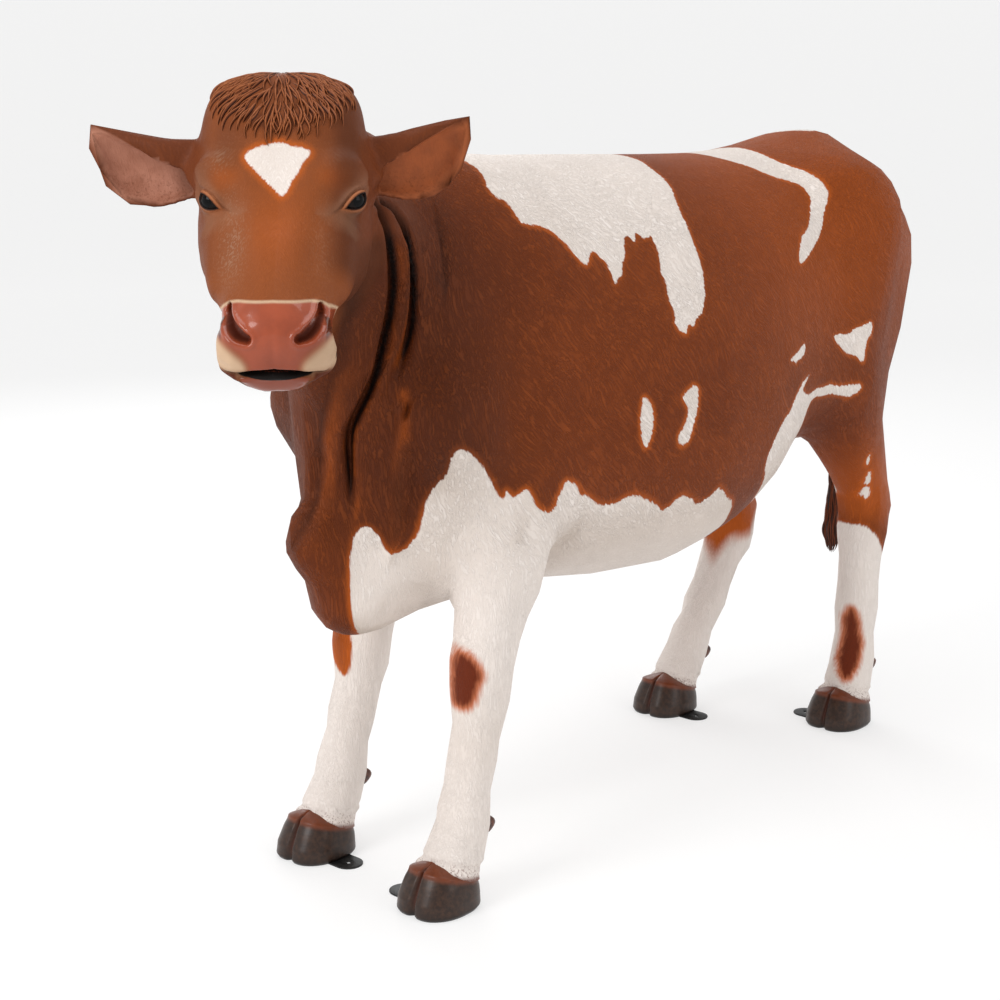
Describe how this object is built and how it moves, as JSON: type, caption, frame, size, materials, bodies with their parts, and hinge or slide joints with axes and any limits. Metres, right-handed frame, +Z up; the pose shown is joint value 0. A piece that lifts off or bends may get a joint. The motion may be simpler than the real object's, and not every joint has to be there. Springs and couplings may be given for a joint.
{
  "type": "life-size cow statue",
  "caption": "Life-size standing statue of a polled red and white dairy cow in painted moulded resin, head turned to its left, with a flat fixing tab under each hoof.",
  "frame": {"origin": "middle of the bounding box at ground level, under the belly", "axes": "+Z up, the cow faces -Y along its body, and its left side is towards +X; the head is turned towards +X"},
  "size_m": [0.6912, 2.0676, 1.4319],
  "materials": {
    "coat_red": "satin airbrushed red-brown paint over moulded hair relief",
    "coat_white": "satin off-white paint over moulded hair relief",
    "coat_dark": "satin dark brown paint over moulded hair locks",
    "hoof_horn_paint": "semi-gloss dark brown paint, lighter at the coronet",
    "eye_black": "high gloss",
    "tab_steel": "black painted sheet steel"
  },
  "bodies": {
    "root": {"chest": "coat_red", "barrel": "coat_red", "hindquarters": "coat_red", "neck": "coat_red", "brisket": "coat_red", "udder": "coat_white", "tail": "coat_red", "tail_switch": "coat_dark", "head": "coat_red", "ear_left": "coat_red", "eye_left": "eye_black", "ear_right": "coat_red", "eye_right": "eye_black", "fore_left_forearm": "coat_white", "fore_left_shank": "coat_white", "fore_left_dewclaw_inner": "hoof_horn_paint", "fore_left_dewclaw_outer": "hoof_horn_paint", "fore_left_hoof": "hoof_horn_paint", "fore_left_tab": "tab_steel", "fore_right_forearm": "coat_white", "fore_right_shank": "coat_white", "fore_right_dewclaw_outer": "hoof_horn_paint", "fore_right_dewclaw_inner": "hoof_horn_paint", "fore_right_hoof": "hoof_horn_paint", "fore_right_tab": "tab_steel", "hind_left_gaskin": "coat_white", "hind_left_shank": "coat_white", "hind_left_dewclaw_inner": "hoof_horn_paint", "hind_left_dewclaw_outer": "hoof_horn_paint", "hind_left_hoof": "hoof_horn_paint", "hind_left_tab": "tab_steel", "hind_right_gaskin": "coat_white", "hind_right_shank": "coat_white", "hind_right_dewclaw_outer": "hoof_horn_paint", "hind_right_dewclaw_inner": "hoof_horn_paint", "hind_right_hoof": "hoof_horn_paint", "hind_right_tab": "tab_steel"}
  },
  "joints": []
}
